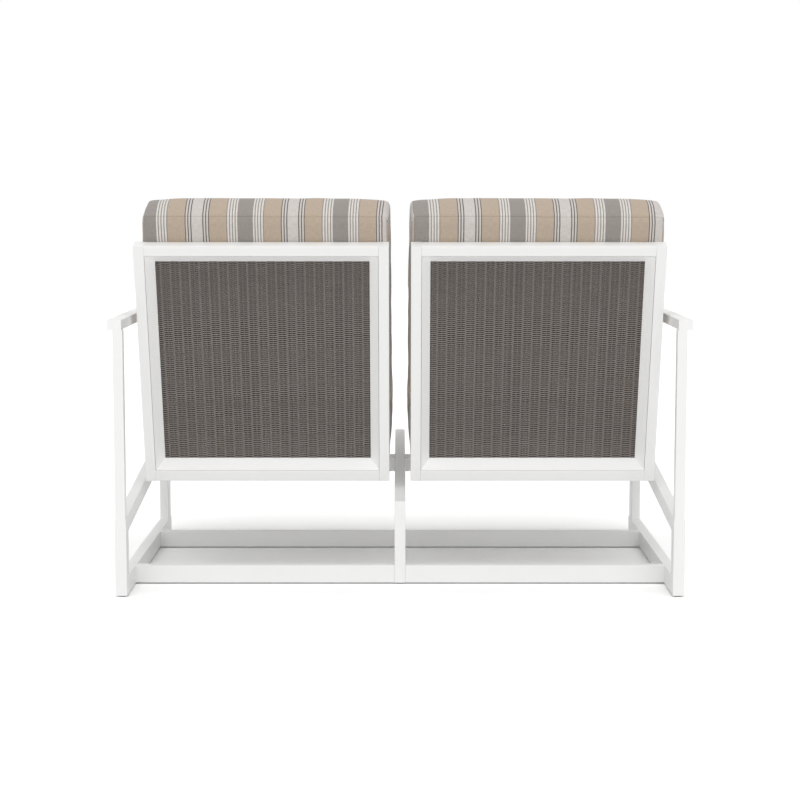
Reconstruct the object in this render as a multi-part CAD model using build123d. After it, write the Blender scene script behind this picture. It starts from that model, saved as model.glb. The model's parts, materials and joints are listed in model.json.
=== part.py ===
from build123d import *
import math
import os

os.makedirs("parts", exist_ok=True)

# An outdoor rocking bench: one welded aluminium base carries two separate seats side by side.
# Each seat turns on its own spring rocker, which sits on the crossbar of the base.
# Lengths are in millimetres. X runs across the bench, the sitters face -Y, and Z is up.
# The origin is on the floor, under the middle of the bench.

# Overall sizes
overall_width = 1305.0
overall_depth = 852.0
arm_height = 628.0

# Base tubes: widths run across the bench
arm_width = 32.0
arm_thickness = 23.0
arm_overhang = 12.0
post_width = 22.5
rear_post_depth = 22.0
front_post_depth = 53.0
front_post_setback = 24.0
support_width = 25.5
support_depth = 37.0
beam_depth = 36.0
floor_rail_height = 41.0
floor_rail_depth = 24.0
crossbar_depth = 38.0
tube_round = 1.8

# Places in the base, measured forward from the rear faces of the rear legs
beam_rear_height = 177.6
centre_leg_setback = 145.0
front_rail_setback = 595.0
crossbar_setback = 558.0
seat_pitch = 7.0

# Floor glides
glide_height = 3.0
glide_radius = 11.0

# Seat frames
running_gap = 12.4
seat_tube_width = 24.0
rail_height = 36.0
seat_front_reach = 276.0
seat_lift = 28.0
cross_member_width = 25.0
cross_member_height = 20.0
cross_member_lift = 6.0
cross_member_place = 52.0
slat_count = 7
slat_width = 40.0
slat_thickness = 4.0
slat_inset = 2.0

# Seat backs
back_tilt = 16.5
back_height = 585.0
back_foot_height = 27.0
back_frame_depth = 35.0
heel_behind_pivot = 303.5
heel_above_pivot = 1.6
trim_width = 20.5
trim_recess = 2.0
trim_slot = 0.6
trim_depth = 28.0
trim_backing = 2.5
panel_thickness = 4.0
panel_fit = 0.3

# Spring rockers, made of bent sheet
sheet = 3.5
rocker_fit = 0.3
saddle_half_width = 75.0
flange_reach = 62.0
pivot_lift = 17.0
pivot_radius = 6.0
ear_radius = 11.0
ear_root = 24.0
plate_half_depth = 66.0
plate_round = 8.0
bush_wall = 2.0
bush_flange = 2.0
bush_flange_radius = 10.0
rocking_angle = 8.0

# Rocker springs, spring cups and bump stops
spring_radius = 13.0
wire_width = 3.6
wire_height = 3.2
spring_turns = 4
spring_place = 41.0
spring_fit = 0.3
cup_thickness = 2.0
cup_height = 7.0
cup_rim = 2.0
stop_radius = 7.0

# Fasteners
pivot_head_radius = 10.0
pivot_head_height = 7.0
plate_bolt_radius = 3.0
plate_bolt_head = 5.5
plate_bolt_place_x = 60.0
plate_bolt_place_y = 56.0
saddle_bolt_radius = 4.0
saddle_bolt_head = 7.0
saddle_bolt_place = 45.0
bolt_fit = 0.25

# Cushions
cushion_fit = 0.3
cushion_rest = 1.5
cushion_thickness = 130.0
cushion_side_bulge = 8.5
cushion_round = 20.0
cushion_corner = 20.0
seat_cushion_front = 21.0
seat_cushion_crown = 12.0
seat_cushion_end_bulge = 9.0
back_cushion_top = 646.0
back_cushion_crown = 16.0
back_cushion_end_bulge = 20.0

# Sections across half a cushion: their places, and how full they are, as shares
section_place_shares = (0.0, 0.55, 0.9, 1.0)
section_fullness_shares = (1.0, 0.88, 0.5, 0.1)

# One overrun for every cut
overrun = 300.0

# Sizes worked out from the ones above
rear_y = overall_depth / 2
side_x = overall_width / 2 - arm_overhang - post_width / 2
side_inner_x = side_x - support_width / 2
centre_half = support_width / 2
seat_width = side_inner_x - centre_half - 2 * running_gap
seat_half = seat_width / 2
seat_x = (side_inner_x + centre_half) / 2
front_post_front_y = front_post_setback - overall_depth / 2
floor_rail_top = glide_height + floor_rail_height
arm_bottom = arm_height - arm_thickness
back_lean = back_tilt - seat_pitch
inner_half = seat_half - seat_tube_width
opening_height = back_height - back_foot_height - seat_tube_width
rail_bottom = seat_lift - pivot_lift
rail_top = rail_bottom + rail_height
member_bottom = rail_bottom + cross_member_lift
plate_bottom = member_bottom - sheet
flange_top = sheet - pivot_lift - beam_depth
spring_height = plate_bottom - flange_top - 2 * cup_thickness
saddle_inner_half = crossbar_depth / 2 + rocker_fit
saddle_outer_half = saddle_inner_half + sheet
plate_ear_inner = saddle_half_width + rocker_fit + bush_flange
plate_half_width = plate_ear_inner + sheet
bush_radius = pivot_radius + bolt_fit + bush_wall
bolt_end = plate_half_width + rocker_fit
lean_sine = math.sin(math.radians(back_lean))
lean_cosine = math.cos(math.radians(back_lean))
seat_cushion_bottom = rail_top + cushion_fit
seat_cushion_top = seat_cushion_bottom + cushion_thickness + seat_cushion_crown
back_cushion_rear = -back_frame_depth - cushion_fit

# The beam frame lies on the tops of the sloping beams, above the rear faces of the rear legs.
# A seat frame has its origin on that seat's pivot and slopes as the beams do.
beam_frame = Pos(0, rear_y, beam_rear_height) * Rot(-seat_pitch, 0, 0)
back_frame = Pos(0, heel_behind_pivot, heel_above_pivot) * Rot(-back_lean, 0, 0)


def seat_frame(side):
    """Frame of one seat, with its origin on the pivot: side 1 is the sitters' left, -1 their right."""
    return beam_frame * Pos(side * seat_x, -crossbar_setback, pivot_lift)


def save(name, *solids):
    """Writes one sub-part, made of one or more separate solids."""
    shape = solids[0] if len(solids) == 1 else Compound(children=list(solids))
    export_step(shape, f"parts/{name}.step")


def block(x_low, x_high, y_low, y_high, z_low, z_high):
    """A box between two corners."""
    middle = Pos((x_low + x_high) / 2, (y_low + y_high) / 2, (z_low + z_high) / 2)
    return middle * Box(x_high - x_low, y_high - y_low, z_high - z_low)


def tube(along, *limits):
    """A closed rectangular tube between two corners, its long edges rounded."""
    bar = block(*limits)
    return fillet(bar.edges().filter_by(along), tube_round)


def upright(outline, x_low, x_high):
    """A solid between two places along X, from an outline drawn in Y and Z."""
    return Pos(x_low, 0, 0) * extrude(Plane.YZ * outline, x_high - x_low, dir=(1, 0, 0))


def rod(radius, length):
    """A round bar that stands on XY."""
    return extrude(Circle(radius), length)


# Base frame

def beam_top_at(y):
    """Height of the tops of the sloping beams at a place along Y."""
    return beam_rear_height + (rear_y - y) * math.tan(math.radians(seat_pitch))


def beam_bottom_at(y):
    """Height of the undersides of the sloping beams at a place along Y."""
    return beam_top_at(y) - beam_depth / math.cos(math.radians(seat_pitch))


def rear_leg(x_middle, y_rear):
    """A rear leg, mitred at its top to take a sloping beam."""
    y_front = y_rear - support_depth
    outline = Polygon(
        (y_rear, glide_height),
        (y_rear, beam_top_at(y_rear)),
        (y_front, beam_bottom_at(y_front)),
        (y_front, glide_height),
        align=None,
    )
    leg = upright(outline, x_middle - support_width / 2, x_middle + support_width / 2)
    return fillet(leg.edges().filter_by(Axis.Z), tube_round)


def seat_beam(x_middle, y_rear, y_end):
    """A beam that climbs forward from the mitre on its rear leg."""
    y_inner = y_rear - support_depth
    outline = Polygon(
        (y_rear, beam_top_at(y_rear)),
        (y_end, beam_top_at(y_end)),
        (y_end, beam_bottom_at(y_end)),
        (y_inner, beam_bottom_at(y_inner)),
        align=None,
    )
    beam = upright(outline, x_middle - support_width / 2, x_middle + support_width / 2)
    slope = Axis((0, 0, 0), (beam_frame * Pos(0, 1, 0)).position - beam_frame.position)
    return fillet(beam.edges().filter_by(slope), tube_round)


def rear_post(side):
    """The upper rear post, coped on the sloping beam and carrying the arm."""
    x_low = side * side_x - post_width / 2
    y_front = rear_y - rear_post_depth
    outline = Polygon(
        (rear_y, beam_top_at(rear_y)),
        (y_front, beam_top_at(y_front)),
        (y_front, arm_bottom),
        (rear_y, arm_bottom),
        align=None,
    )
    post = upright(outline, x_low, x_low + post_width)
    return fillet(post.edges().filter_by(Axis.Z), tube_round)


def front_post(side):
    """The front post, standing on the floor stretcher and carrying the arm."""
    x_low = side * side_x - post_width / 2
    y_rear = front_post_front_y + front_post_depth
    return tube(Axis.Z, x_low, x_low + post_width, front_post_front_y, y_rear, floor_rail_top, arm_bottom)


def arm(side):
    """An armrest tube, closed at both ends."""
    x_outer = side * overall_width / 2
    x_inner = x_outer - side * arm_width
    limits = (min(x_outer, x_inner), max(x_outer, x_inner), -overall_depth / 2, overall_depth / 2)
    return tube(Axis.Y, *limits, arm_bottom, arm_height)


def floor_stretcher(side):
    """The side rail along the floor, from the rear leg to the front of the front post."""
    x_low = side * side_x - support_width / 2
    y_rear = rear_y - support_depth
    return tube(
        Axis.Y, x_low, x_low + support_width, front_post_front_y, y_rear, glide_height, floor_rail_top
    )


def floor_rail(x_low, x_high, setback):
    """A rail across the bench at floor level, measured forward from the rear faces."""
    y_rear = rear_y - setback
    return tube(Axis.X, x_low, x_high, y_rear - floor_rail_depth, y_rear, glide_height, floor_rail_top)


def crossbar(side):
    """One half of the crossbar, between a side beam and the centre beam, flush with their tops."""
    x_low = min(side * centre_half, side * side_inner_x)
    x_high = max(side * centre_half, side * side_inner_x)
    half = crossbar_depth / 2
    bar = tube(Axis.X, x_low, x_high, -half, half, -beam_depth, 0)
    for x in (-saddle_bolt_place, saddle_bolt_place):
        bar -= Pos(side * seat_x + x, half, -beam_depth / 2) * Rot(90, 0, 0) * rod(
            saddle_bolt_radius, crossbar_depth
        )
    return beam_frame * Pos(0, -crossbar_setback, 0) * bar


def centre_post():
    """The short post between the front floor rail and the centre beam."""
    y_rear = rear_y - front_rail_setback
    y_front = y_rear - floor_rail_depth
    outline = Polygon(
        (y_rear, floor_rail_top),
        (y_rear, beam_bottom_at(y_rear)),
        (y_front, beam_bottom_at(y_front)),
        (y_front, floor_rail_top),
        align=None,
    )
    post = upright(outline, -centre_half, centre_half)
    return fillet(post.edges().filter_by(Axis.Z), tube_round)


def floor_glide(x_middle, y_middle):
    """A round glide under a leg."""
    return Pos(x_middle, y_middle, 0) * rod(glide_radius, glide_height)


# Spring rockers, in the seat frame

def ear(root_half, root_z, hole_radius):
    """The outline of an ear in Y and Z: a round eye about the pivot, tapering out to its root."""
    eye = Circle(ear_radius)
    root = Polyline((-root_half, root_z), (root_half, root_z))
    return make_hull(eye.edges() + root.edges()) - Circle(hole_radius)


def rocker_saddle():
    """The bent sheet saddle over the crossbar, with two ears for the pivot and two spring flanges."""
    top = -pivot_lift
    foot = flange_top - sheet
    over = Pos(0, (top + sheet + foot) / 2) * Rectangle(2 * saddle_outer_half, top + sheet - foot)
    over = fillet(over.vertices().group_by(Axis.Y)[-1], sheet)
    under = Pos(0, (top + foot) / 2) * Rectangle(2 * saddle_inner_half, top - foot)
    flanges = Pos(0, foot + sheet / 2) * Rectangle(2 * flange_reach, sheet)
    saddle = upright(over + flanges - under, -saddle_half_width, saddle_half_width)
    for x_low in (-saddle_half_width, saddle_half_width - sheet):
        upstand = ear(saddle_inner_half, top + sheet, pivot_radius + bolt_fit)
        saddle += upright(upstand, x_low, x_low + sheet)
    for x in (-saddle_bolt_place, saddle_bolt_place):
        saddle -= Pos(x, overrun, top - beam_depth / 2) * Rot(90, 0, 0) * rod(saddle_bolt_radius, 2 * overrun)
    return saddle


def rocker_plate():
    """The sheet plate under the seat, with two ears that turn about the pivot."""
    plate = Pos(0, 0, plate_bottom) * extrude(
        RectangleRounded(2 * plate_half_width, 2 * plate_half_depth, plate_round), sheet
    )
    for x_low in (-plate_half_width, plate_ear_inner):
        plate += upright(ear(ear_root, plate_bottom, bush_radius), x_low, x_low + sheet)
    for x in (-plate_bolt_place_x, plate_bolt_place_x):
        for y in (-plate_bolt_place_y, plate_bolt_place_y):
            plate -= Pos(x, y, 0) * rod(plate_bolt_radius, overrun)
    return plate


def pivot_bush(side):
    """A flanged bush in one ear of the plate, its flange towards the saddle."""
    wall = Circle(bush_radius) - Circle(pivot_radius + bolt_fit)
    rim = Circle(bush_flange_radius) - Circle(pivot_radius + bolt_fit)
    bush = extrude(rim, bush_flange) + extrude(wall, bush_flange + sheet)
    return Pos(side * (plate_ear_inner - bush_flange), 0, 0) * Rot(0, side * 90, 0) * bush


def pivot_bolt():
    """The long bolt that each seat turns on, with its head and its nut."""
    shank = Pos(-bolt_end, 0, 0) * Rot(0, 90, 0) * rod(pivot_radius, 2 * bolt_end + pivot_head_height)
    head = Pos(-bolt_end, 0, 0) * Rot(0, -90, 0) * extrude(
        RegularPolygon(pivot_head_radius, 6), pivot_head_height
    )
    return shank + head


def pivot_nut():
    """The nut on the end of a pivot bolt."""
    outline = RegularPolygon(pivot_head_radius, 6) - Circle(pivot_radius)
    return Pos(bolt_end, 0, 0) * Rot(0, 90, 0) * extrude(outline, pivot_head_height)


def plate_bolt(x, y):
    """A bolt that holds the rocker plate to a cross member, its head underneath."""
    head = extrude(RegularPolygon(plate_bolt_head, 6), -plate_bolt_radius)
    shank = rod(plate_bolt_radius, sheet + cross_member_height / 2)
    return Pos(x, y, plate_bottom) * (head + shank)


def saddle_bolt(x):
    """A cross bolt through the saddle and the crossbar, with a hexagonal head at each end."""
    middle_z = -pivot_lift - beam_depth / 2
    head = extrude(RegularPolygon(saddle_bolt_head, 6), saddle_bolt_radius)
    shank = Pos(0, 0, -saddle_outer_half) * rod(saddle_bolt_radius, 2 * saddle_outer_half)
    ends = Pos(0, 0, saddle_outer_half) * head + Pos(0, 0, -saddle_outer_half - saddle_bolt_radius) * head
    return Pos(x, 0, middle_z) * Rot(90, 0, 0) * (shank + ends)


def cup(height, toward):
    """A cup on a flange or plate, its boss inside the spring: toward is 1 for up, -1 for down."""
    disc = rod(spring_radius + wire_width / 2 + cup_rim, cup_thickness)
    boss = rod(spring_radius - wire_width / 2 - spring_fit, cup_height)
    return Pos(0, 0, height) * Rot(90 - toward * 90, 0, 0) * (disc + boss)


def spring():
    """A coil of flat wire standing on its lower cup, its ends ground flat."""
    line = Helix(pitch=spring_height / spring_turns, height=spring_height, radius=spring_radius)
    wire = Plane(origin=line @ 0, x_dir=(1, 0, 0), z_dir=line % 0) * Rectangle(wire_width, wire_height)
    coil = sweep(wire, path=line, is_frenet=True)
    outer = 2 * (spring_radius + wire_width)
    return coil & block(-outer, outer, -outer, outer, 0, spring_height)


def bump_stop():
    """A rubber stop on the lower cup, which the upper cup meets at the end of its travel."""
    travel = math.tan(math.radians(rocking_angle)) * (spring_place + stop_radius)
    height = plate_bottom - flange_top - 2 * cup_height - travel - rocker_fit
    return Pos(0, 0, flange_top + cup_height) * rod(stop_radius, height)


# Seats, in the seat frame

def behind_back_face():
    """Everything behind the front face of the back frame, as a block that cuts the seat's rails."""
    return back_frame * block(-seat_width, seat_width, -back_frame_depth, overrun, -overrun, overrun)


def seat_side_rail(side):
    """A side rail of the seat, mitred to the leaning back."""
    x_low = min(side * inner_half, side * seat_half)
    rail = tube(
        Axis.Y, x_low, x_low + seat_tube_width, -seat_front_reach, overrun, rail_bottom, rail_top
    )
    return rail - behind_back_face()


def seat_front_rail():
    """The front rail of the seat, between its side rails."""
    y_rear = seat_tube_width - seat_front_reach
    return tube(Axis.X, -inner_half, inner_half, -seat_front_reach, y_rear, rail_bottom, rail_top)


def cross_member(y_middle):
    """A tube across the seat that the rocker plate is bolted to."""
    half = cross_member_width / 2
    top = member_bottom + cross_member_height
    member = tube(Axis.X, -inner_half, inner_half, y_middle - half, y_middle + half, member_bottom, top)
    for x in (-plate_bolt_place_x, plate_bolt_place_x):
        y = math.copysign(plate_bolt_place_y, y_middle)
        member -= Pos(x, y, 0) * rod(plate_bolt_radius, member_bottom + cross_member_height / 2)
    return member


def slats():
    """Flat slats across the seat, evenly spaced between the front rail and the back frame."""
    y_front = seat_tube_width - seat_front_reach
    y_rear = (back_frame * Pos(0, -back_frame_depth, back_foot_height)).position.Y
    gap = (y_rear - y_front - slat_count * slat_width) / (slat_count + 1)
    top = rail_top - slat_inset
    for i in range(slat_count):
        y_low = y_front + gap + i * (slat_width + gap)
        yield block(-inner_half, inner_half, y_low, y_low + slat_width, top - slat_thickness, top)


# Seat backs, in the back frame: Y is 0 on the rear face and Z runs up from the heel

def stile(side):
    """An upright of the back frame."""
    x_low = min(side * inner_half, side * seat_half)
    return tube(Axis.Z, x_low, x_low + seat_tube_width, -back_frame_depth, 0, 0, back_height)


def back_rail(z_low, z_high):
    """The top or bottom rail of the back frame, between its uprights."""
    return tube(Axis.X, -inner_half, inner_half, -back_frame_depth, 0, z_low, z_high)


def trim_side(length):
    """One mitred side of the bevelled trim, lying along X with its outer edge on Z = 0."""
    inward = trim_width - trim_slot
    half = length / 2
    front = trim_depth + trim_backing
    plan = Polygon((-half, 0), (half, 0), (half - inward, inward), (inward - half, inward), align=None)
    section = Polygon((-trim_recess, 0), (-trim_depth, inward), (-front, inward), (-front, 0), align=None)
    return extrude(Plane.XZ * plan, overrun, both=True) & upright(section, -half, half)


def trim():
    """The four mitred sides of the bevelled trim around the woven panel."""
    width = 2 * (inner_half - trim_slot)
    height = opening_height - 2 * trim_slot
    middle = Pos(0, 0, back_foot_height + opening_height / 2)
    for turn in range(4):
        length, reach = (width, height / 2) if turn % 2 == 0 else (height, width / 2)
        yield middle * Rot(0, 90 * turn, 0) * Pos(0, 0, -reach) * trim_side(length)


def woven_panel():
    """The woven panel that closes the back frame from the front, behind the trim."""
    half = inner_half - panel_fit
    rear = -trim_depth - trim_backing
    low = back_foot_height + panel_fit
    high = back_height - seat_tube_width - panel_fit
    return block(-half, half, rear - panel_thickness, rear, low, high)


# Cushions: their length runs along Y, and their flat underside lies on Z = 0

def cushion_section(x, length, thickness, crown, end_bulge, fullness):
    """A closed outline across a cushion: a flat underside, bulging ends and a crowned top."""
    inset = cushion_round * (1 - fullness) ** 2
    low, high = inset, length - inset
    bottom, top = inset, thickness - inset
    middle = thickness / 2
    r = cushion_corner
    outline = Curve() + [
        Line((low + r, bottom), (high - r, bottom)),
        RadiusArc((high - r, bottom), (high, bottom + r), -r),
        ThreePointArc((high, bottom + r), (high + end_bulge * fullness, middle), (high, top - r)),
        RadiusArc((high, top - r), (high - r, top), -r),
        ThreePointArc((high - r, top), (length / 2, top + crown * fullness), (low + r, top)),
        RadiusArc((low + r, top), (low, top - r), -r),
        ThreePointArc((low, top - r), (low - end_bulge * fullness, middle), (low, bottom + r)),
        RadiusArc((low, bottom + r), (low + r, bottom), -r),
    ]
    return Plane.YZ.offset(x) * make_face(outline)


def cushion(length, crown, end_bulge):
    """A box cushion with a crowned top, drawn in towards its sides."""
    reach = seat_half + cushion_side_bulge
    half = list(zip(section_place_shares, section_fullness_shares))
    stations = [(-place, full) for place, full in reversed(half[1:])] + half
    sections = [
        cushion_section(place * reach, length, cushion_thickness, crown, end_bulge, full)
        for place, full in stations
    ]
    return loft(sections)


def seat_cushion():
    """The seat cushion, from the back frame to just ahead of the front rail."""
    back_foot = back_frame * Pos(0, -back_frame_depth, 0)
    y_rear = back_foot.position.Y + (seat_cushion_bottom - back_foot.position.Z) * lean_sine / lean_cosine
    y_front = -seat_front_reach - seat_cushion_front
    length = y_rear - cushion_fit - y_front
    return Pos(0, y_front, seat_cushion_bottom) * cushion(length, seat_cushion_crown, seat_cushion_end_bulge)


def back_cushion():
    """The back cushion, from the top of the seat cushion to well above the back frame."""
    middle_depth = cushion_thickness / 2 - back_cushion_rear
    lowest = seat_cushion_top + cushion_rest - heel_above_pivot - middle_depth * lean_sine
    bottom = lowest / lean_cosine + back_cushion_end_bulge
    length = back_cushion_top - bottom
    upright_cushion = Rot(90, 0, 0) * cushion(length, back_cushion_crown, back_cushion_end_bulge)
    return back_frame * Pos(0, back_cushion_rear, bottom) * upright_cushion


def spring_gap():
    """The least gap between neighbouring turns of a spring, measured along its line."""
    line = Helix(pitch=spring_height / spring_turns, height=spring_height, radius=spring_radius)
    points_per_turn = 24
    steps = points_per_turn * spring_turns
    points = [line @ (i / steps) for i in range(steps + 1)]
    pairs = zip(points, points[points_per_turn:])
    return min((low - high).length for low, high in pairs) - wire_height


# The base, one sub-part at a time

sides = ((1, "left"), (-1, "right"))
both_ways = (1, -1)
spring_places = (-spring_place, spring_place)
beam_end_y = front_post_front_y + front_post_depth
centre_rear_y = rear_y - centre_leg_setback

for side, name in sides:
    save(f"{name}_rear_leg", rear_leg(side * side_x, rear_y))
    save(f"{name}_seat_beam", seat_beam(side * side_x, rear_y, beam_end_y))
    save(f"{name}_rear_post", rear_post(side))
    save(f"{name}_front_post", front_post(side))
    save(f"{name}_armrest", arm(side))
    save(f"{name}_floor_stretcher", floor_stretcher(side))
    save(f"{name}_crossbar", crossbar(side))
    save(f"{name}_rocker_saddle", seat_frame(side) * rocker_saddle())

save("centre_rear_leg", rear_leg(0, centre_rear_y))
save("centre_seat_beam", seat_beam(0, centre_rear_y, front_post_front_y))
save("centre_post", centre_post())
save("front_floor_rail", floor_rail(-side_inner_x, side_inner_x, front_rail_setback))
save(
    "rear_floor_rails",
    floor_rail(-side_inner_x, -centre_half, centre_leg_setback),
    floor_rail(centre_half, side_inner_x, centre_leg_setback),
)

leg_middle = support_depth / 2
glide_places = [(side * side_x, rear_y - leg_middle) for side in both_ways]
glide_places += [(side * side_x, front_post_front_y + leg_middle) for side in both_ways]
glide_places += [(0, centre_rear_y - leg_middle)]
save("floor_glides", *[floor_glide(x, y) for x, y in glide_places])

# What the base carries under each seat

frames = [seat_frame(side) for side in both_ways]
bolt_places = (-saddle_bolt_place, saddle_bolt_place)
save("saddle_bolts", *[f * saddle_bolt(x) for f in frames for x in bolt_places])
save("pivot_bolts", *[f * pivot_bolt() for f in frames])
save("pivot_nuts", *[f * pivot_nut() for f in frames])
save(
    "lower_spring_cups",
    *[f * Pos(0, y, 0) * cup(flange_top, 1) for f in frames for y in spring_places],
)
save("bump_stops", *[f * Pos(0, y, 0) * bump_stop() for f in frames for y in spring_places])

# The two seats

for side, name in sides:
    seat = seat_frame(side)
    back = seat * back_frame
    save(f"{name}_back_stiles", *[back * stile(s) for s in both_ways])
    save(f"{name}_back_top_rail", back * back_rail(back_height - seat_tube_width, back_height))
    save(f"{name}_back_bottom_rail", back * back_rail(0, back_foot_height))
    save(f"{name}_back_trim", *[back * piece for piece in trim()])
    save(f"{name}_woven_panel", back * woven_panel())
    save(f"{name}_seat_side_rails", *[seat * seat_side_rail(s) for s in both_ways])
    save(f"{name}_seat_front_rail", seat * seat_front_rail())
    members = [seat * cross_member(s * cross_member_place) for s in both_ways]
    save(f"{name}_seat_cross_members", *members)
    save(f"{name}_seat_slats", *[seat * slat for slat in slats()])
    save(f"{name}_rocker_plate", seat * rocker_plate())
    bolts = [
        seat * plate_bolt(x, y)
        for x in (-plate_bolt_place_x, plate_bolt_place_x)
        for y in (-plate_bolt_place_y, plate_bolt_place_y)
    ]
    save(f"{name}_plate_bolts", *bolts)
    save(f"{name}_pivot_bushes", *[seat * pivot_bush(s) for s in both_ways])
    cups = [seat * Pos(0, y, 0) * cup(plate_bottom, -1) for y in spring_places]
    save(f"{name}_upper_spring_cups", *cups)
    foot = flange_top + cup_thickness
    save(f"{name}_rocker_springs", *[seat * Pos(0, y, foot) * spring() for y in spring_places])
    save(f"{name}_seat_cushion", seat * seat_cushion())
    save(f"{name}_back_cushion", seat * back_cushion())

print("least gap between spring turns, mm:", round(spring_gap(), 2))
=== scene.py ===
import json
import math

import bmesh
import bpy
from mathutils import Matrix, Vector, noise


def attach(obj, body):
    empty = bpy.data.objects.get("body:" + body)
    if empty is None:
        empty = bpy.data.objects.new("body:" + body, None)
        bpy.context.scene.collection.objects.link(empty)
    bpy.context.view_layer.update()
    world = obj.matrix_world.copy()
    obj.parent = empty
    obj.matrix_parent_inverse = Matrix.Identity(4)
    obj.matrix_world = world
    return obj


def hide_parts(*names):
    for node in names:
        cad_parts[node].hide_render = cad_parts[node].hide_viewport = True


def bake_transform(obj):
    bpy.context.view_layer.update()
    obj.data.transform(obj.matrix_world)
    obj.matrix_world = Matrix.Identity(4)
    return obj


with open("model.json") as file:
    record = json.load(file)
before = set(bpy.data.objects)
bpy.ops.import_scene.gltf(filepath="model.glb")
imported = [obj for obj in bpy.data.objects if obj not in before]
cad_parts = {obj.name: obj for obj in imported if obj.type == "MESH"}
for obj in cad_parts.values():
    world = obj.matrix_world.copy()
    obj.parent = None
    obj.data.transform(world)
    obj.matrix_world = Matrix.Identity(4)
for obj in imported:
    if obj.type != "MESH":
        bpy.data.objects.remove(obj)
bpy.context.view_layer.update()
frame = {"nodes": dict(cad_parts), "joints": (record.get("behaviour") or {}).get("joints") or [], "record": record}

# An outdoor rocking bench, seen from behind as in the photograph.
# Lengths are in metres. X runs across the bench, the sitters face -Y, and Z is up.

mm = 0.001

# Seats, as the CAD frame sets them out
seat_pitch = math.radians(7.0)
back_tilt = math.radians(16.5)
heel_behind_pivot = 303.5 * mm
heel_above_pivot = 1.6 * mm
back_height = 585.0 * mm
back_foot_height = 27.0 * mm
back_frame_depth = 35.0 * mm
seat_half = 289.5 * mm
seat_tube_width = 24.0 * mm
rail_top = 47.0 * mm
seat_front_reach = 276.0 * mm
cushion_fit = 0.5 * mm

# Cushions. A bulge is how far a face stands out between its seams.
cushion_half = 289.5 * mm
cushion_shift = 1.7 * mm
cushion_flare = 4.5 * mm
cushion_thickness = 130.0 * mm
rear_corner = 8.0 * mm
front_corner = 13.0 * mm
back_cushion_bottom = 195.0 * mm
back_cushion_top = 646.0 * mm
back_crown = 16.0 * mm
back_end_bulge = 17.0 * mm
seat_cushion_front = 21.0 * mm
seat_cushion_rear = 275.0 * mm
seat_crown = 14.0 * mm
seat_end_bulge = 9.0 * mm

# Both sides of a cushion, the inner one first: the bulge, how tight its seams pull it in, how far its
# end is drawn in at the top, and how far its stripes slip towards it
back_forms = {
    "left": {
        "bulge": (2.0 * mm, 0.0), "pull": (1.0 * mm, 0.0),
        "draw": (3.0 * mm, 18.0 * mm), "slip": (0.0, 4.5 * mm)},
    "right": {
        "bulge": (3.0 * mm, 6.0 * mm), "pull": (0.0, 1.5 * mm),
        "draw": (3.0 * mm, 1.5 * mm), "slip": (4.5 * mm, 0.0)},
}
seat_form = {
    "bulge": (4.0 * mm, 4.0 * mm), "pull": (2.0 * mm, 2.0 * mm), "draw": (0.0, 0.0), "slip": (0.0, 0.0)}

# Seams and cloth. The end's boxing runs a little way round each corner of the cushion.
sewn_grid = 9.0 * mm
seam_grid = (2.5 * mm, 7.0 * mm)
seam_edge = 7.0 * mm
seam_depth = 1.8 * mm
seam_reach = 16.0 * mm
boxing_turn = 16.0 * mm
swelling_limit = 4.0 * mm
swelling_over_rail = 4.0 * mm
swelling_frames = 20
pucker_from = 4.0 * mm
broad_pucker = (45.0 * mm, 1.2 * mm)
fine_pucker = (14.0 * mm, 0.9 * mm)

# Woven panels: rows of strand round upright stakes, which stand a little outward of the middle
stake_pitch = 22.0 * mm
steps_per_stake = 4
row_pitch = 2.43 * mm
strand_height = 2.48 * mm
strand_depth = 1.6 * mm
strand_sway = 1.3 * mm
stake_width = 3.2 * mm
stake_depth = 1.2 * mm
panel_middle = -32.6 * mm
panel_fit = 0.3 * mm
# Painted shade on the stakes, on the scale of a strand's sway: they are darkened as if they lay in the weave's
# shadow
stake_painted_shade = -0.30
first_row_rise = 1.6 * mm
weave_shift = 2.5 * mm

# Stripes of the canvas, from the middle of a grey stripe to the middle of an off-white one
grey_half = 17.3 * mm
white_line = 3.6 * mm
grey_gap = 2.7 * mm
tan_width = 38.1 * mm
dark_line = 2.3 * mm
white_gap = 4.0 * mm
off_white_half = 12.5 * mm
grey_middles = {"left": 135.1 * mm, "right": -267.8 * mm}
side_stripe_start = 61.0 * mm

# Camera, fitted to the straight edges of the frame in the photograph
image_size = 800.0
focal_pixels = 1864.9
sensor_width = 36.0
camera_distance = 4.568
camera_height = 0.900
camera_fall = math.radians(6.222)

# Floor and light
floor_seen_by_light = (0.92, 0.92, 0.92, 1.0)
floor_seen_by_camera = (1.20, 1.20, 1.20, 1.0)
floor_half = 14.0
surround_strength = 0.64

# Broad lights: the name, how far each falls below level in degrees, its width in degrees, its strength
suns = (("above", 72, 60, 1.00), ("behind", 8, 40, 0.56))


def linear(code, alpha=1.0):
    """A colour written as sRGB hex, turned to linear values."""
    channels = [int(code[i:i + 2], 16) / 255 for i in (0, 2, 4)]
    return [c / 12.92 if c <= 0.04045 else ((c + 0.055) / 1.055) ** 2.4 for c in channels] + [alpha]


def add(tree, kind, inputs=None, **settings):
    """Adds a node with its settings; each input is a value or another node's socket."""
    node = tree.nodes.new(kind)
    for name, value in settings.items():
        setattr(node, name, value)
    for key, value in (inputs or {}).items():
        if isinstance(value, bpy.types.NodeSocket):
            tree.links.new(value, node.inputs[key])
        else:
            node.inputs[key].default_value = value
    return node


def new_material(name):
    """An empty material and its node tree."""
    material = bpy.data.materials.new(name)
    material.use_nodes = True
    material.node_tree.nodes.clear()
    return material, material.node_tree


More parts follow.
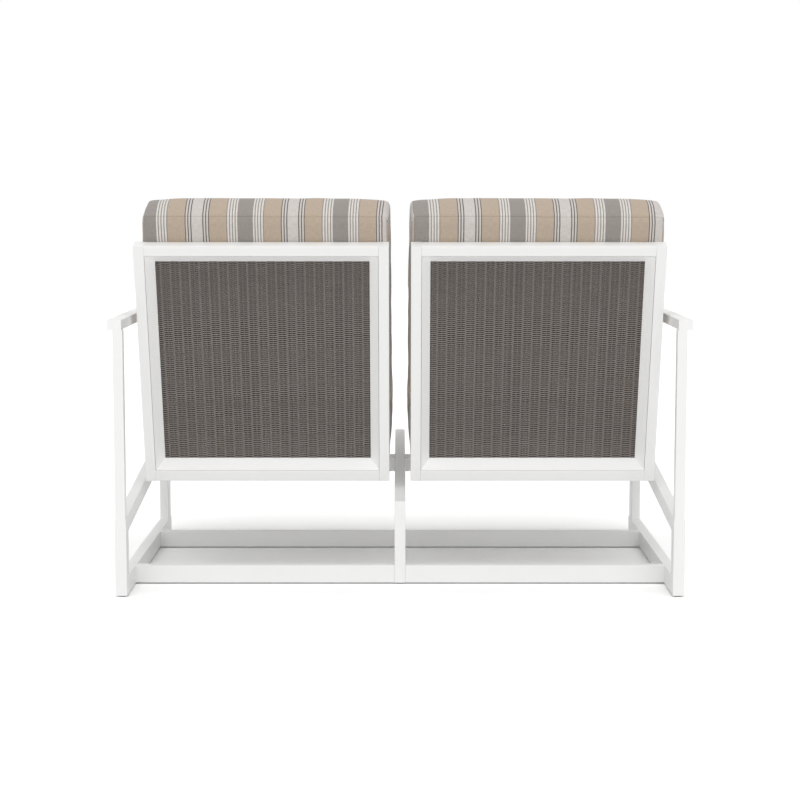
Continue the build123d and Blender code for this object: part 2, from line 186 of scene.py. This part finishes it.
def surface(tree, **inputs):
    """Ends a material with a surface shader."""
    shader = add(tree, "ShaderNodeBsdfPrincipled")
    for key, value in inputs.items():
        socket = shader.inputs[key.replace("_", " ")]
        if isinstance(value, bpy.types.NodeSocket):
            tree.links.new(value, socket)
        else:
            socket.default_value = value
    add(tree, "ShaderNodeOutputMaterial", {"Surface": shader.outputs["BSDF"]})
    return shader


# Materials

def powder_coat(name, dark, light):
    """White polyester powder coat on aluminium: satin, with a very fine orange peel."""
    material, tree = new_material(name)
    place = add(tree, "ShaderNodeTexCoord").outputs["Object"]
    peel_size = 1.4 * mm
    haze_size = 120 * mm
    peel = add(tree, "ShaderNodeTexNoise", {"Vector": place, "Scale": 1 / peel_size, "Detail": 2.0})
    haze = add(tree, "ShaderNodeTexNoise", {"Vector": place, "Scale": 1 / haze_size, "Detail": 3.0})
    tint = add(tree, "ShaderNodeMix", {
        "Factor": haze.outputs["Fac"], "A": linear(dark), "B": linear(light)}, data_type="RGBA")
    gloss = add(tree, "ShaderNodeMapRange", {
        "Value": haze.outputs["Fac"], "To Min": 0.36, "To Max": 0.46})
    bump = add(tree, "ShaderNodeBump", {
        "Height": peel.outputs["Fac"], "Distance": 0.03 * mm, "Strength": 0.5})
    surface(tree, Base_Color=tint.outputs["Result"], Roughness=gloss.outputs["Result"],
            Normal=bump.outputs["Normal"])
    return material


def loom_strand():
    """Twisted strand coated in resin, warm taupe: satin, each row a little lighter or darker. Strands lying back
    in the weave, and the stakes, are darkened with painted shade.
    """
    material, tree = new_material("woven_loom_strand")
    place = add(tree, "ShaderNodeTexCoord").outputs["Object"]
    twist_length = 3.0 * mm
    tone_length = 60 * mm
    row_spread = add(tree, "ShaderNodeMapping", {
        "Vector": place, "Scale": (1 / tone_length, 0.0, 1 / row_pitch)})
    rows = add(tree, "ShaderNodeTexNoise", {
        "Vector": row_spread.outputs["Vector"], "Scale": 1.0, "Detail": 2.0})
    twist = add(tree, "ShaderNodeTexWave", {
        "Vector": place, "Scale": 1 / twist_length / 6, "Distortion": 1.0}, bands_direction="DIAGONAL")
    tone = add(tree, "ShaderNodeValToRGB", {"Fac": rows.outputs["Fac"]})
    tone.color_ramp.elements[0].position = 0.3
    tone.color_ramp.elements[0].color = linear("827a74")
    tone.color_ramp.elements[1].position = 0.7
    tone.color_ramp.elements[1].color = linear("8f8781")
    # Painted shade: a strand is darkened as it lies back in the weave, down to black where it lies furthest back
    depth = add(tree, "ShaderNodeAttribute", attribute_name="painted_weave_shade").outputs["Fac"]
    painted_recess_shade = add(tree, "ShaderNodeMapRange", {
        "Value": depth, "From Min": -0.62, "From Max": 0.0, "To Min": 0.0, "To Max": 1.0},
        interpolation_type="SMOOTHSTEP")
    with_painted_shade = add(tree, "ShaderNodeVectorMath", {
        0: tone.outputs["Color"], "Scale": painted_recess_shade.outputs["Result"]}, operation="SCALE")
    bump = add(tree, "ShaderNodeBump", {
        "Height": twist.outputs["Fac"], "Distance": 0.12 * mm, "Strength": 0.5})
    surface(tree, Base_Color=with_painted_shade.outputs["Vector"], Roughness=0.55, Normal=bump.outputs["Normal"])
    return material


def stripe_steps():
    """Where each band of the stripes begins, from the middle of a grey one, and its colour."""
    grey, white, tan, dark, off_white = "96908a", "dcd7d1", "b8a795", "68625d", "cec8c3"
    steps = [(0.0, grey)]
    at = grey_half
    for _ in range(4):
        steps += [(at, white), (at + white_line, grey)]
        at += white_line + grey_gap
    steps += [(at, tan)]
    at += tan_width
    for _ in range(3):
        steps += [(at, dark), (at + dark_line, off_white)]
        at += dark_line + white_gap
    return steps, at - white_gap + off_white_half


def striped_canvas():
    """Woven outdoor canvas with yarn-dyed stripes: matt, its yarns a little uneven in colour."""
    material, tree = new_material("striped_canvas")
    cloth = add(tree, "ShaderNodeUVMap", uv_map="cloth").outputs["UV"]
    seams = add(tree, "ShaderNodeUVMap", uv_map="seams").outputs["UV"]
    yarn = 1.1 * mm
    slub_length = 14 * mm
    slub_width = 1.6 * mm
    wander_length = 25 * mm
    wander_width = 0.6 * mm
    wander = add(tree, "ShaderNodeTexNoise", {
        "Vector": cloth, "Scale": 1 / wander_length, "Detail": 2.0})
    shift = add(tree, "ShaderNodeMapRange", {
        "Value": wander.outputs["Fac"], "To Min": -wander_width, "To Max": wander_width})
    across = add(tree, "ShaderNodeSeparateXYZ", {"Vector": cloth}).outputs["X"]
    along = add(tree, "ShaderNodeSeparateXYZ", {"Vector": cloth}).outputs["Y"]
    steps, half_repeat = stripe_steps()
    moved = add(tree, "ShaderNodeMath", {0: across, 1: shift.outputs["Result"]}, operation="ADD")
    folded = add(tree, "ShaderNodeMath", {0: moved.outputs[0], 1: half_repeat}, operation="PINGPONG")
    share = add(tree, "ShaderNodeMath", {0: folded.outputs[0], 1: half_repeat}, operation="DIVIDE")
    stripes = add(tree, "ShaderNodeValToRGB", {"Fac": share.outputs[0]})
    ramp = stripes.color_ramp
    ramp.interpolation = "CONSTANT"
    for i, (start, colour) in enumerate(steps):
        step = ramp.elements[i] if i < 2 else ramp.elements.new(start / half_repeat)
        step.position = start / half_repeat
        step.color = linear(colour)
    slubs = []
    for scale in ((1 / slub_length, 1 / slub_width, 1.0), (1 / slub_width, 1 / slub_length, 1.0)):
        stretched = add(tree, "ShaderNodeMapping", {"Vector": cloth, "Scale": scale})
        slubs.append(add(tree, "ShaderNodeTexNoise", {
            "Vector": stretched.outputs["Vector"], "Scale": 1.0, "Detail": 3.0}).outputs["Fac"])
    both = add(tree, "ShaderNodeMath", {0: slubs[0], 1: slubs[1]}, operation="ADD")
    heather = add(tree, "ShaderNodeMapRange", {
        "Value": both.outputs[0], "From Min": 0.6, "From Max": 1.4, "To Min": 0.84, "To Max": 1.12})
    woven = add(tree, "ShaderNodeVectorMath", {
        0: stripes.outputs["Color"], "Scale": heather.outputs["Result"]}, operation="SCALE")
    # Painted shade: the cloth is darkened to about half right at each seam, fading out within 1.6 mm, where the
    # sunk seam lies in shade
    from_seam = add(tree, "ShaderNodeSeparateXYZ", {"Vector": seams}).outputs["X"]
    seam_painted_shade = add(tree, "ShaderNodeMapRange", {
        "Value": from_seam, "From Min": 0.3 * mm, "From Max": 1.6 * mm, "To Min": 0.55, "To Max": 1.0},
        interpolation_type="SMOOTHSTEP")
    with_painted_shade = add(tree, "ShaderNodeVectorMath", {
        0: woven.outputs["Vector"], "Scale": seam_painted_shade.outputs["Result"]}, operation="SCALE")
    threads = []
    for line in (across, along):
        turned = add(tree, "ShaderNodeMath", {0: line, 1: math.pi / yarn}, operation="MULTIPLY")
        threads.append(add(tree, "ShaderNodeMath", {0: turned.outputs[0]}, operation="SINE").outputs[0])
    weave = add(tree, "ShaderNodeMath", {0: threads[0], 1: threads[1]}, operation="MULTIPLY")
    cloth_bump = add(tree, "ShaderNodeBump", {
        "Height": weave.outputs[0], "Distance": 0.10 * mm, "Strength": 0.6})
    slub_bump = add(tree, "ShaderNodeBump", {
        "Height": both.outputs[0], "Distance": 0.25 * mm, "Strength": 0.6,
        "Normal": cloth_bump.outputs["Normal"]})
    surface(tree, Base_Color=with_painted_shade.outputs["Vector"], Roughness=0.92, Sheen_Weight=0.15,
            Sheen_Roughness=0.5, Normal=slub_bump.outputs["Normal"])
    return material


def zinc_plate():
    """Zinc-plated steel: bright grey, with the faint blotches of the plating bath."""
    material, tree = new_material("zinc_plated_steel")
    place = add(tree, "ShaderNodeTexCoord").outputs["Object"]
    blotch_size = 9 * mm
    blotch = add(tree, "ShaderNodeTexNoise", {"Vector": place, "Scale": 1 / blotch_size, "Detail": 4.0})
    tint = add(tree, "ShaderNodeMix", {
        "Factor": blotch.outputs["Fac"], "A": linear("a9adb2"), "B": linear("c9cbcd")}, data_type="RGBA")
    gloss = add(tree, "ShaderNodeMapRange", {
        "Value": blotch.outputs["Fac"], "To Min": 0.28, "To Max": 0.48})
    surface(tree, Base_Color=tint.outputs["Result"], Metallic=1.0, Roughness=gloss.outputs["Result"])
    return material


def moulded(name, dark, light, roughness):
    """Moulded nylon or rubber: matt, with a fine mould grain."""
    material, tree = new_material(name)
    place = add(tree, "ShaderNodeTexCoord").outputs["Object"]
    grain_size = 0.8 * mm
    grain = add(tree, "ShaderNodeTexNoise", {"Vector": place, "Scale": 1 / grain_size, "Detail": 3.0})
    tint = add(tree, "ShaderNodeMix", {
        "Factor": grain.outputs["Fac"], "A": linear(dark), "B": linear(light)}, data_type="RGBA")
    bump = add(tree, "ShaderNodeBump", {
        "Height": grain.outputs["Fac"], "Distance": 0.05 * mm, "Strength": 0.5})
    surface(tree, Base_Color=tint.outputs["Result"], Roughness=roughness, Normal=bump.outputs["Normal"])
    return material


finishes = {
    "white_powder_coat": powder_coat("white_powder_coat", "f1f1f0", "f5f5f4"),
    "woven_loom_strand": loom_strand(),
    "striped_canvas": striped_canvas(),
    "zinc_plated_steel": zinc_plate(),
    "grey_nylon": moulded("grey_nylon", "6a6a6a", "747474", 0.5),
    "black_rubber": moulded("black_rubber", "232323", "2c2c2c", 0.75),
}

for part in frame["record"]["subparts"]:
    node = frame["nodes"][part["node"]]
    node.data.materials.clear()
    node.data.materials.append(finishes[part["material_slot"]])

# The bevelled trim gets a lighter copy of the white coat: painted light, making up for the light its recessed
# bevels lose
trim_painted_light = powder_coat("white_trim_painted_light", "fafaf9", "fdfdfc")
for side_name in ("left", "right"):
    trim = frame["nodes"][f"{side_name}_back_trim"]
    trim.data.materials.clear()
    trim.data.materials.append(trim_painted_light)


# Places of the two seats

outward = {"left": 1, "right": -1}


def joint_of(side_name):
    """The hinge that a seat rocks on."""
    return next(j for j in frame["joints"] if j["child"] == f"{side_name}_seat")


def seat_place(side_name):
    """Turns seat lengths, with the pivot at their origin, into places on the bench."""
    pivot = Vector(joint_of(side_name)["pos_m"])
    return Matrix.Translation(pivot) @ Matrix.Rotation(-seat_pitch, 4, "X")


def back_place(side_name):
    """The same for the back: Y is 0 on its rear face and Z runs up from its heel."""
    heel = Matrix.Translation((0, heel_behind_pivot, heel_above_pivot))
    return seat_place(side_name) @ heel @ Matrix.Rotation(seat_pitch - back_tilt, 4, "X")


def keep(bm, name, slot):
    """Turns a bmesh into a piece with its finish."""
    mesh = bpy.data.meshes.new(name)
    bm.to_mesh(mesh)
    bm.free()
    piece = bpy.data.objects.new(name, mesh)
    bpy.context.scene.collection.objects.link(piece)
    mesh.materials.append(finishes[slot])
    return piece


def cut_across(bm, axis, places):
    """Adds a loop of edges at each place along an axis."""
    for place in places:
        point, normal = Vector((0, 0, 0)), Vector((0, 0, 0))
        point[axis], normal[axis] = place, 1.0
        bmesh.ops.bisect_plane(bm, geom=bm.verts[:] + bm.edges[:] + bm.faces[:], dist=1e-7,
                               plane_co=point, plane_no=normal)


# Woven panels

def strand(bm, x_low, x_high, z):
    """One row of the weave, still straight."""
    made = bmesh.ops.create_cone(bm, segments=4, radius1=0.5, radius2=0.5, depth=1.0, cap_ends=True)
    length = x_high - x_low
    turn = Matrix.Rotation(math.pi / 2, 4, "Y")
    size = Matrix.Diagonal((length, strand_depth, strand_height, 1))
    middle = Matrix.Translation(((x_low + x_high) / 2, panel_middle, z))
    bmesh.ops.transform(bm, matrix=middle @ size @ turn, verts=made["verts"])


def shifted(side_name):
    """Where a panel's middle stake stands across it."""
    return outward[side_name] * weave_shift


def woven_panel(side_name):
    """Rows of strand woven round upright stakes, held behind the trim."""
    half = seat_half - seat_tube_width - panel_fit
    low = back_foot_height + panel_fit
    high = back_height - seat_tube_width - panel_fit
    bm = bmesh.new()
    depth = bm.verts.layers.float.new("painted_weave_shade")
    strand(bm, -half, half, low + first_row_rise + row_pitch / 2)
    step = stake_pitch / steps_per_stake
    shift = shifted(side_name)
    count = int((half - weave_shift) / step)
    cut_across(bm, 0, [shift + i * step for i in range(-count, count + 1)])
    other = bmesh.ops.duplicate(bm, geom=bm.verts[:] + bm.edges[:] + bm.faces[:])
    second = {v for v in other["geom"] if isinstance(v, bmesh.types.BMVert)}
    for vert in bm.verts:
        way = 1 if vert in second else -1
        sway = way * math.cos(math.pi * (vert.co.x - shift) / stake_pitch)
        # The sway is also stored for the material's painted shade, which darkens the rows lying back
        vert[depth] = sway
        vert.co.y += strand_sway * sway
        if vert in second:
            vert.co.z += row_pitch
    for face in bm.faces:
        face.smooth = True
    place = back_place(side_name)
    bmesh.ops.transform(bm, matrix=place, verts=bm.verts)
    panel = keep(bm, f"{side_name}_woven_rows", "woven_loom_strand")
    rows = panel.modifiers.new("rows", "ARRAY")
    rows.use_relative_offset = False
    rows.use_constant_offset = True
    rows.constant_offset_displace = place.to_3x3() @ Vector((0, 0, 2 * row_pitch))
    rows.count = int((high - low - first_row_rise) / (2 * row_pitch))
    return panel


def stakes(side_name):
    """The upright stakes inside the weave."""
    half = seat_half - seat_tube_width - panel_fit
    low = back_foot_height + panel_fit
    high = back_height - seat_tube_width - panel_fit
    bm = bmesh.new()
    depth = bm.verts.layers.float.new("painted_weave_shade")
    count = int((half - weave_shift) / stake_pitch)
    for i in range(-count, count + 1):
        made = bmesh.ops.create_cone(bm, segments=8, radius1=0.5, radius2=0.5, depth=1.0, cap_ends=True)
        size = Matrix.Diagonal((stake_width, stake_depth, high - low, 1))
        x = shifted(side_name) + i * stake_pitch
        middle = Matrix.Translation((x, panel_middle, (low + high) / 2))
        bmesh.ops.transform(bm, matrix=middle @ size, verts=made["verts"])
    # Painted shade: every stake is darkened as if it lay in the weave's shadow
    for vert in bm.verts:
        vert[depth] = stake_painted_shade
    bmesh.ops.transform(bm, matrix=back_place(side_name), verts=bm.verts)
    return keep(bm, f"{side_name}_weave_stakes", "woven_loom_strand")


# Cushions: X across, Y along, Z from the flat rear or underside to the crowned face

def sewn_box(bm, half):
    """A box with a grid on its sides: two loops of edges close beside each seam, even between."""
    made = bmesh.ops.create_cube(bm, size=1.0)
    bmesh.ops.transform(bm, matrix=Matrix.Diagonal((*(2 * half), 1)), verts=made["verts"])
    for axis in range(3):
        for gap in seam_grid:
            cut_across(bm, axis, (gap - half[axis], half[axis] - gap))
        inner = half[axis] - seam_grid[-1]
        across = [edge for edge in bm.edges
                  if abs(abs(edge.verts[0].co[axis] - edge.verts[1].co[axis]) - 2 * inner) < 1e-6]
        bmesh.ops.subdivide_edges(bm, edges=across, cuts=round(2 * inner / sewn_grid) - 1,
                                  use_grid_fill=True)


def from_seam(point, half):
    """How far a place on the box lies from the nearest seam of its two panels."""
    if half.z - abs(point.z) > 1e-6:
        return half.z - abs(point.z)
    return min(half.x - abs(point.x), half.y - abs(point.y))


def fullness(share, power):
    """How full the cloth is between two seams: 1 at the middle and 0 at either seam."""
    return max(0.0, 1 - abs(share) ** power)


def at_side(pair, across, outer):
    """Picks the inner or outer side's value; outer is 1 where the outer side is the +X one."""
    return pair[outer * across >= 0]


def drawn_in(point, half, draw):
    """How far a side of the cushion is drawn in at a place, most at its top."""
    return draw * point.x / half.x * (1 + point.y / half.y) / 2


def filled_form(point, half, crown, end_bulge, side_bulge, pull):
    """Moves a place on the box onto the filled cushion, with round corners and tight seams."""
    across, along, thick = (p / h for p, h in zip(point, half))
    corner = rear_corner + (front_corner - rear_corner) * (1 + thick) / 2
    inner_x, inner_y = half.x - corner, half.y - corner
    core = Vector((max(-inner_x, min(inner_x, point.x)), max(-inner_y, min(inner_y, point.y)), 0))
    away = Vector((point.x, point.y, 0)) - core
    reach = max(abs(away.x), abs(away.y))
    edge = max(0.0, reach - corner + seam_edge)
    rise = max(0.0, abs(point.z) - half.z + seam_edge)
    fold = 1 - max(edge, rise) / math.hypot(edge, rise) if edge * rise > 0 else 0.0
    moved = core + away.normalized() * (reach - edge * fold)
    moved.z = point.z - math.copysign(rise * fold, point.z)
    moved.x += across * cushion_flare * (1 + thick) / 2
    if thick > 0.999:
        moved.z += crown * fullness(across, 2.6) * fullness(along, 2.6)
    if abs(along) > 0.999:
        moved.y += math.copysign(end_bulge, along) * fullness(across, 8) * fullness(thick, 2)
    if abs(across) > 0.999:
        moved.x += math.copysign(side_bulge, across) * fullness(along, 2.2) * fullness(thick, 2)
    tight = pull * math.exp(-from_seam(point, half) / seam_reach)
    moved.x -= math.copysign(tight, across) * abs(across) ** 5
    moved.y -= math.copysign(tight, along) * abs(along) ** 7
    return moved


def swell(piece, free_above):
    """Fills a cushion by a short cloth simulation, and keeps each point near where it began."""
    begun = [v.co.copy() for v in piece.data.vertices]
    normals = [v.normal.copy() for v in piece.data.vertices]
    cloth = piece.modifiers.new("filling", "CLOTH")
    cloth.settings.quality = 5
    cloth.settings.mass = 0.3
    cloth.settings.tension_stiffness = 25
    cloth.settings.compression_stiffness = 25
    cloth.settings.shear_stiffness = 8
    cloth.settings.bending_stiffness = 0.6
    cloth.settings.use_pressure = True
    cloth.settings.uniform_pressure_force = 4.0
    cloth.settings.effector_weights.gravity = 0
    cloth.point_cache.frame_start = 1
    cloth.point_cache.frame_end = swelling_frames
    for step in range(1, swelling_frames + 1):
        bpy.context.scene.frame_set(step)
    graph = bpy.context.evaluated_depsgraph_get()
    filled = piece.evaluated_get(graph).to_mesh()
    ends = [v.co.copy() for v in filled.vertices]
    piece.evaluated_get(graph).to_mesh_clear()
    piece.modifiers.remove(cloth)
    bpy.context.scene.frame_set(1)
    for vert, start, end, normal in zip(piece.data.vertices, begun, ends, normals):
        swollen = max(0.0, min(swelling_limit, (end - start).dot(normal)))
        vert.co = start + normal * swollen
        vert.co.z = max(vert.co.z, -swelling_over_rail if start.y > free_above else 0.0)


def lay_cloth(bm, half, middle, outer, form, grey_middle):
    """Gives each face its place on the striped cloth, and its distance from a seam, as UV maps."""
    cloth = bm.loops.layers.uv.new("cloth")
    seams = bm.loops.layers.uv.new("seams")
    for face in bm.faces:
        boxing = abs(face.normal.z) < 0.5
        from_end = half.y - abs(face.calc_center_median().y)
        turned = abs(face.normal.x) > 0.5 and from_end < boxing_turn
        on_side = abs(face.normal.x) > 0.5 and not turned
        for loop in face.loops:
            point = loop.vert.co
            across = point.x / half.x
            slip = at_side(form["slip"], across, outer) * across * abs(across)
            drawn = drawn_in(point, half, at_side(form["draw"], across, outer))
            x = middle + point.x - drawn - slip
            if turned:
                x += math.copysign(half.y - abs(point.y), point.x)
            if on_side:
                loop[cloth].uv = (side_stripe_start - point.z - half.z, point.y)
            else:
                loop[cloth].uv = (x - grey_middle, point.z if boxing else point.y)
            loop[seams].uv = (from_seam(point, half), 0.0)


def pucker(piece, gaps):
    """Sinks the seams and puckers the cloth, most beside a seam; gaps are distances from the seams."""
    broad_size, broad_rise = broad_pucker
    fine_size, fine_rise = fine_pucker
    normals = [vert.normal.copy() for vert in piece.data.vertices]
    for vert, normal, gap in zip(piece.data.vertices, normals, gaps):
        rise = -seam_depth if gap < 1e-6 else 0.0
        if vert.co.z > pucker_from:
            near = math.exp(-gap / seam_reach)
            rise += noise.noise(vert.co / broad_size) * broad_rise
            rise += noise.noise(vert.co / fine_size) * near * fine_rise
        vert.co += normal * rise


def cushion(name, length, crown, end_bulge, form, free_above, place, grey_middle):
    """A box cushion: two panels and a boxing strip, sewn with plain seams."""
    half = Vector((cushion_half, length / 2, cushion_thickness / 2))
    middle = place.translation.x
    outer = math.copysign(1.0, middle)
    bm = bmesh.new()
    sewn_box(bm, half)
    lay_cloth(bm, half, middle, outer, form, grey_middle)
    for face in bm.faces:
        face.smooth = True
    gaps = []
    for vert in bm.verts:
        gaps.append(from_seam(vert.co, half))
        draw, bulge, pull = (at_side(form[key], vert.co.x, outer) for key in ("draw", "bulge", "pull"))
        drawn = drawn_in(vert.co, half, draw)
        vert.co = filled_form(vert.co, half, crown, end_bulge, bulge, pull)
        vert.co.x -= drawn
        vert.co.z += half.z
    piece = keep(bm, name, "striped_canvas")
    swell(piece, free_above)
    pucker(piece, gaps)
    piece.data.transform(place)
    smooth = piece.modifiers.new("smooth", "SUBSURF")
    smooth.levels = 1
    smooth.render_levels = 1
    return piece


for side_name in ("left", "right"):
    body = f"{side_name}_seat"
    grey_middle = grey_middles[side_name]
    rows = woven_panel(side_name)
    inner = stakes(side_name)
    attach(rows, body)
    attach(inner, body)
    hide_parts(f"{side_name}_woven_panel")

    length = back_cushion_top - back_cushion_bottom
    upright = Matrix.Translation((
        -outward[side_name] * cushion_shift,
        -back_frame_depth - cushion_fit,
        back_cushion_bottom + length / 2,
    ))
    place = back_place(side_name) @ upright @ Matrix.Rotation(math.pi / 2, 4, "X")
    free_above = back_height - back_cushion_bottom - length / 2 + seam_edge
    back = cushion(f"{side_name}_back_cushion_cover", length, back_crown, back_end_bulge,
                   back_forms[side_name], free_above, place, grey_middle)
    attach(back, body)
    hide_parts(f"{side_name}_back_cushion")

    length = seat_cushion_rear + seat_front_reach + seat_cushion_front
    flat = Matrix.Translation((0, seat_cushion_rear - length / 2, rail_top + cushion_fit))
    place = seat_place(side_name) @ flat
    seat = cushion(f"{side_name}_seat_cushion_cover", length, seat_crown, seat_end_bulge,
                   seat_form, length, place, grey_middle)
    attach(seat, body)
    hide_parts(f"{side_name}_seat_cushion")


# Rocker springs: their lower turns stand in the base's cups. The coils are copied from the CAD part into a piece
# of their own, and the part is hidden
for side_name in ("left", "right"):
    node = f"{side_name}_rocker_springs"
    coils = bpy.data.objects.new(f"{side_name}_spring_coils", frame["nodes"][node].data.copy())
    bpy.context.scene.collection.objects.link(coils)
    place = seat_place(side_name)
    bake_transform(coils)
    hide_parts(node)


# Floor, light and camera

def stage_floor():
    """A white sweep that keeps the bench's soft shadow and fades to plain white."""
    bm = bmesh.new()
    bmesh.ops.create_grid(bm, x_segments=2, y_segments=2, size=floor_half)
    mesh = bpy.data.meshes.new("floor")
    bm.to_mesh(mesh)
    bm.free()
    floor = bpy.data.objects.new("floor", mesh)
    bpy.context.scene.collection.objects.link(floor)
    material, tree = new_material("floor_white")
    rays = add(tree, "ShaderNodeLightPath")
    seen = add(tree, "ShaderNodeMath", {
        0: rays.outputs["Is Camera Ray"], 1: rays.outputs["Is Glossy Ray"]}, operation="MAXIMUM")
    shade = add(tree, "ShaderNodeMix", {
        "Factor": seen.outputs[0], "A": floor_seen_by_light, "B": floor_seen_by_camera}, data_type="RGBA")
    matt = add(tree, "ShaderNodeBsdfDiffuse", {"Color": shade.outputs["Result"]})
    add(tree, "ShaderNodeOutputMaterial", {"Surface": matt.outputs["BSDF"]})
    mesh.materials.append(material)


def studio_light():
    """An even white surround, with broad weak lights from above and from behind the bench."""
    world = bpy.data.worlds.new("studio")
    bpy.context.scene.world = world
    world.use_nodes = True
    tree = world.node_tree
    tree.nodes.clear()
    rays = add(tree, "ShaderNodeLightPath")
    seen = add(tree, "ShaderNodeMath", {
        0: rays.outputs["Is Camera Ray"], 1: rays.outputs["Is Glossy Ray"]}, operation="MAXIMUM")
    strength = add(tree, "ShaderNodeMapRange", {
        "Value": seen.outputs[0], "To Min": surround_strength, "To Max": 1.0})
    background = add(tree, "ShaderNodeBackground", {
        "Color": linear("ffffff"), "Strength": strength.outputs["Result"]})
    add(tree, "ShaderNodeOutputWorld", {"Surface": background.outputs["Background"]})

    for name, fall, width, energy in suns:
        lamp = bpy.data.lights.new(name, "SUN")
        lamp.angle = math.radians(width)
        lamp.energy = energy
        sun = bpy.data.objects.new(name, lamp)
        sun.rotation_euler = (math.radians(90 - fall), 0, math.pi)
        bpy.context.scene.collection.objects.link(sun)


def photo_camera():
    """The camera of the photograph: behind the bench, a little above its cushions."""
    lens = bpy.data.cameras.new("photo_camera")
    lens.sensor_width = sensor_width
    lens.lens = focal_pixels / image_size * sensor_width
    camera = bpy.data.objects.new("photo_camera", lens)
    camera.location = (0.0, camera_distance, camera_height)
    camera.rotation_euler = (math.pi / 2 - camera_fall, 0, math.pi)
    bpy.context.scene.collection.objects.link(camera)
    bpy.context.scene.camera = camera


stage_floor()
studio_light()
photo_camera()
bpy.context.scene.view_settings.view_transform = "Standard"
